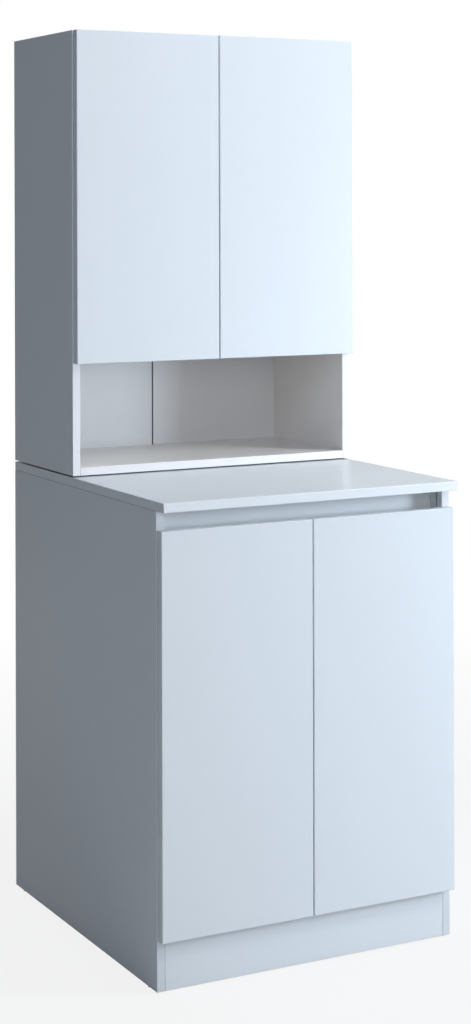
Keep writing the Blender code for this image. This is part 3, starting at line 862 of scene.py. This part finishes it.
def make_nails():
    nail = mesh_from(turned(low_dome(NAIL_RADIUS, NAIL_HEIGHT), SMALL_ROUND_SIDES), "nail", ())
    piece_from(gathered(nail, nail_rows()), "back_nails", (ZINC,), "carcass")


def make_hinge_screws():
    # On each hinge: two through the cup's flange, two through the plate, two adjusters in the arm
    head = screw_template(SCREW_RADIUS, SCREW_HEIGHT)
    adjuster = screw_template(ADJUSTER_RADIUS, SCREW_HEIGHT)
    on_plates = []
    on_arms = []
    for unit in UNITS:
        for side in SIDES:
            inward = INWARD[side]
            on_flanges = []
            for place in HINGE_PLACES:
                label = f"{unit}_{side}_{place}"
                cup = cup_centre(label)
                low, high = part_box(f"hinge_arm_{label}")
                wall = outer_end(side, low, high)
                top = inner_end(side, low, high)
                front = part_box(f"{unit}_side_{side}")[0].y
                for sign in (-1, 1):
                    on_flanges.append(facing(
                        cup + inward * CUP_SCREW_OFFSET + UP * sign * CUP_SCREW_SPACING / 2, REARWARD,
                    ))
                    level = cup.z + sign * PLATE_SCREW_SPACING / 2
                    plate = Vector((wall, front + PLATE_SETBACK, level)) + inward * PLATE_THICKNESS
                    on_plates.append(facing(plate, inward))
                for setback in ADJUSTER_SETBACKS:
                    on_arms.append(facing(Vector((top, front + setback, cup.z)), inward))
            piece_from(
                gathered(head, on_flanges), f"cup_screws_{unit}_{side}", (NICKEL,),
                f"{unit}_{side}_door",
            )
    piece_from(gathered(head, on_plates), "plate_screws", (NICKEL,), "carcass")
    piece_from(gathered(adjuster, on_arms), "adjuster_screws", (NICKEL,), "carcass")


def make_bracket_screws():
    places = []
    for side in SIDES:
        node = f"wall_bracket_{side}"
        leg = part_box(node)[1].z - BRACKET_THICKNESS
        places.append(facing(Vector((*middle_of(node).xy, leg)), DOWN))
    piece_from(
        gathered(screw_template(SCREW_RADIUS, SCREW_HEIGHT), places), "bracket_screws", (ZINC,),
        "carcass",
    )


def make_glides():
    # Nail-on glides: a rounded disc with the nail's head sunk in a dimple
    for side in SIDES:
        for row in ROWS:
            node = f"glide_{row}_{side}"
            low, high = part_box(node)
            radius = (high.x - low.x) / 2
            height = high.z - low.z
            profile = [(0, height - GLIDE_NAIL_SUNK), (GLIDE_NAIL_RADIUS, height - GLIDE_NAIL_SUNK)]
            profile += rounded_bar(radius, 0, height, GLIDE_RIM)[1:]
            place = facing(Vector((*middle_of(node).xy, high.z)), DOWN)
            disc = mesh_from(turned(profile), "disc", ())
            piece_from(
                gathered(disc, [place]), f"{node}_disc", (PLASTIC,), "carcass", [node],
            )


def make_pads():
    # Felt discs between the units; the joining screws pass through the front ones
    for side in SIDES:
        for row in ROWS:
            node = f"pad_{row}_{side}"
            low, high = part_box(node)
            radius = (high.x - low.x) / 2
            profile = rounded_bar(radius, 0, high.z - low.z, PAD_RIM_ROUND)
            if row == "front":
                profile = [(SHANK_HOLE_RADIUS, profile[0][1]), *profile[1:-1], (SHANK_HOLE_RADIUS, 0)]
                profile.append(profile[0])
            disc = mesh_from(turned(profile), "disc", ())
            place = Matrix.Translation((*middle_of(node).xy, low.z))
            piece_from(gathered(disc, [place]), f"{node}_disc", (FELT,), "carcass", [node])


def make_shelf_pins():
    # A thick round part that carries the shelf, and a thinner shank in the side board's hole
    for side in SIDES:
        wall = inner_end(side, *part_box(f"upper_side_{side}"))
        for row in ROWS:
            node = f"shelf_pin_{row}_{side}"
            low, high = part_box(node)
            reach = max(abs(low.x - wall), abs(high.x - wall))
            into = min(abs(low.x - wall), abs(high.x - wall))
            radius = (high.z - low.z) / 2
            profile = rounded_bar(radius, SEAT_GAP, reach, PIN_HEAD_ROUND)[:-1]
            profile += [(PIN_SHANK_RADIUS, SEAT_GAP), (PIN_SHANK_RADIUS, -into), (0, -into)]
            pin = mesh_from(turned(profile), "pin", ())
            centre = middle_of(node)
            place = facing(Vector((wall, centre.y, centre.z)), INWARD[side])
            piece_from(gathered(pin, [place]), f"{node}_peg", (ZINC,), "carcass", [node])


def make_joining_screws():
    # A slotted dome under the worktop, with its shank up into the niche floor
    for side in SIDES:
        node = f"joining_screw_front_{side}"
        low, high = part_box(node)
        radius = (high.x - low.x) / 2
        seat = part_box("worktop")[0].z - SEAT_GAP
        head = dome(radius, seat - low.z, SCREW_RIM)[:-1]
        shank = [(HEAD_SHANK_RADIUS, 0), (HEAD_SHANK_RADIUS, seat - high.z), (0, seat - high.z)]
        reach = radius * CROSS_REACH_SHARE
        half = radius * CROSS_WIDTH_SHARE
        floor = (seat - low.z) * (1 - CROSS_DEPTH_SHARE)
        slot = block(Vector((-reach, -half, floor)), Vector((reach, half, radius)))
        mesh = template_with(turned(head + shank), [slot])
        place = facing(Vector((*middle_of(node).xy, seat)), DOWN)
        piece_from(gathered(mesh, [place]), f"{node}_turned", (ZINC,), "carcass", [node])


def dress_cad_nodes():
    # The hinges' pressed pieces and the wall brackets keep their solids
    for name, node in frame["nodes"].items():
        finish = {"wall": ZINC, "hinge": NICKEL}.get(name.split("_")[0])
        if finish:
            node.data.materials.clear()
            node.data.materials.append(finish)


def studio_floor():
    # The floor takes the cabinet's shadow, which fades out with distance
    finish = Finish("studio_floor", roughness=FLOOR_ROUGHNESS)
    drift = finish.noise(scale=1.5)
    finish.paint(colour=finish.blend(drift, shaded(FLOOR_GREY, 0.98), FLOOR_GREY))
    length = finish.node("ShaderNodeVectorMath", {"operation": "LENGTH"}, {0: finish.place})
    beyond = finish.output(length, "Value") - NEAR_RADIUS
    far = finish.maths("DIVIDE", beyond, FAR_RADIUS - NEAR_RADIUS, clamped=True)
    white = finish.node("ShaderNodeEmission", sockets={"Color": (*PURE_WHITE, 1), "Strength": 1.0})
    finish.show("Material Output", finish.mixed_shader(
        finish.seen() * finish.graded(far, low=NEAR_WHITE_SHARE, high=1.0),
        finish.output(finish.shader, "BSDF"), finish.output(white, "Emission"),
    ))
    return finish.material


def make_floor():
    bm = bmesh.new()
    bmesh.ops.create_grid(bm, x_segments=1, y_segments=1, size=FLOOR_REACH)
    placed(mesh_from(bm, "floor", (studio_floor(),)))


def make_world():
    # A soft pale light from all round; to the eye it is plain white
    world = bpy.data.worlds.new("studio")
    bpy.context.scene.world = world
    nodes = Nodes(world)
    soft = nodes.tree.nodes["Background"]
    soft.inputs["Color"].default_value = (*SKY_TINT, 1)
    soft.inputs["Strength"].default_value = SKY_STRENGTH
    white = nodes.node("ShaderNodeBackground", sockets={"Color": (*PURE_WHITE, 1), "Strength": 1.0})
    nodes.show("World Output", nodes.mixed_shader(
        nodes.seen(), nodes.output(soft, "Background"), nodes.output(white, "Background"),
    ))


def make_lamps():
    for name, (place, target, (width, height), power, tint) in LAMPS.items():
        lamp = bpy.data.lights.new(name, "AREA")
        lamp.shape = "RECTANGLE"
        lamp.size = width
        lamp.size_y = height
        lamp.energy = power
        lamp.color = tint
        item = bpy.data.objects.new(name, lamp)
        bpy.context.scene.collection.objects.link(item)
        item.visible_glossy = name not in UNMIRRORED_LAMPS
        item.location = place
        item.rotation_euler = (Vector(target) - Vector(place)).to_track_quat("-Z", "Y").to_euler()


def make_camera():
    heading = math.radians(CAMERA_HEADING)
    roll = math.radians(CAMERA_ROLL)
    forward = Vector((math.sin(heading), math.cos(heading), 0))
    level = Vector((math.cos(heading), -math.sin(heading), 0))
    across = level * math.cos(roll) + UP * math.sin(roll)
    above = UP * math.cos(roll) - level * math.sin(roll)
    lens = bpy.data.cameras.new("camera")
    lens.sensor_width = SENSOR_WIDTH
    lens.lens = FOCAL_PIXELS / LONG_SIDE_PIXELS * SENSOR_WIDTH
    lens.shift_y = (HORIZON_PIXEL - LONG_SIDE_PIXELS / 2) / LONG_SIDE_PIXELS
    camera = bpy.data.objects.new("camera", lens)
    bpy.context.scene.collection.objects.link(camera)
    turn = Matrix((across, above, -forward)).transposed()
    camera.matrix_world = Matrix.Translation(CAMERA_PLACE) @ turn.to_4x4()
    bpy.context.scene.camera = camera


make_camera()
make_lamps()
make_floor()
make_world()
lower_side_cams = make_lower_sides()
lower_board_cams = make_lower_cross_boards()
upper_board_cams = make_upper_cross_boards()
make_screwed_boards()
make_upper_sides()
make_doors()
make_back()
make_cams(lower_side_cams + lower_board_cams, upper_board_cams)
make_nails()
make_hinge_screws()
make_bracket_screws()
make_glides()
make_pads()
make_shelf_pins()
make_joining_screws()
dress_cad_nodes()

bpy.context.scene.view_settings.view_transform = "Standard"
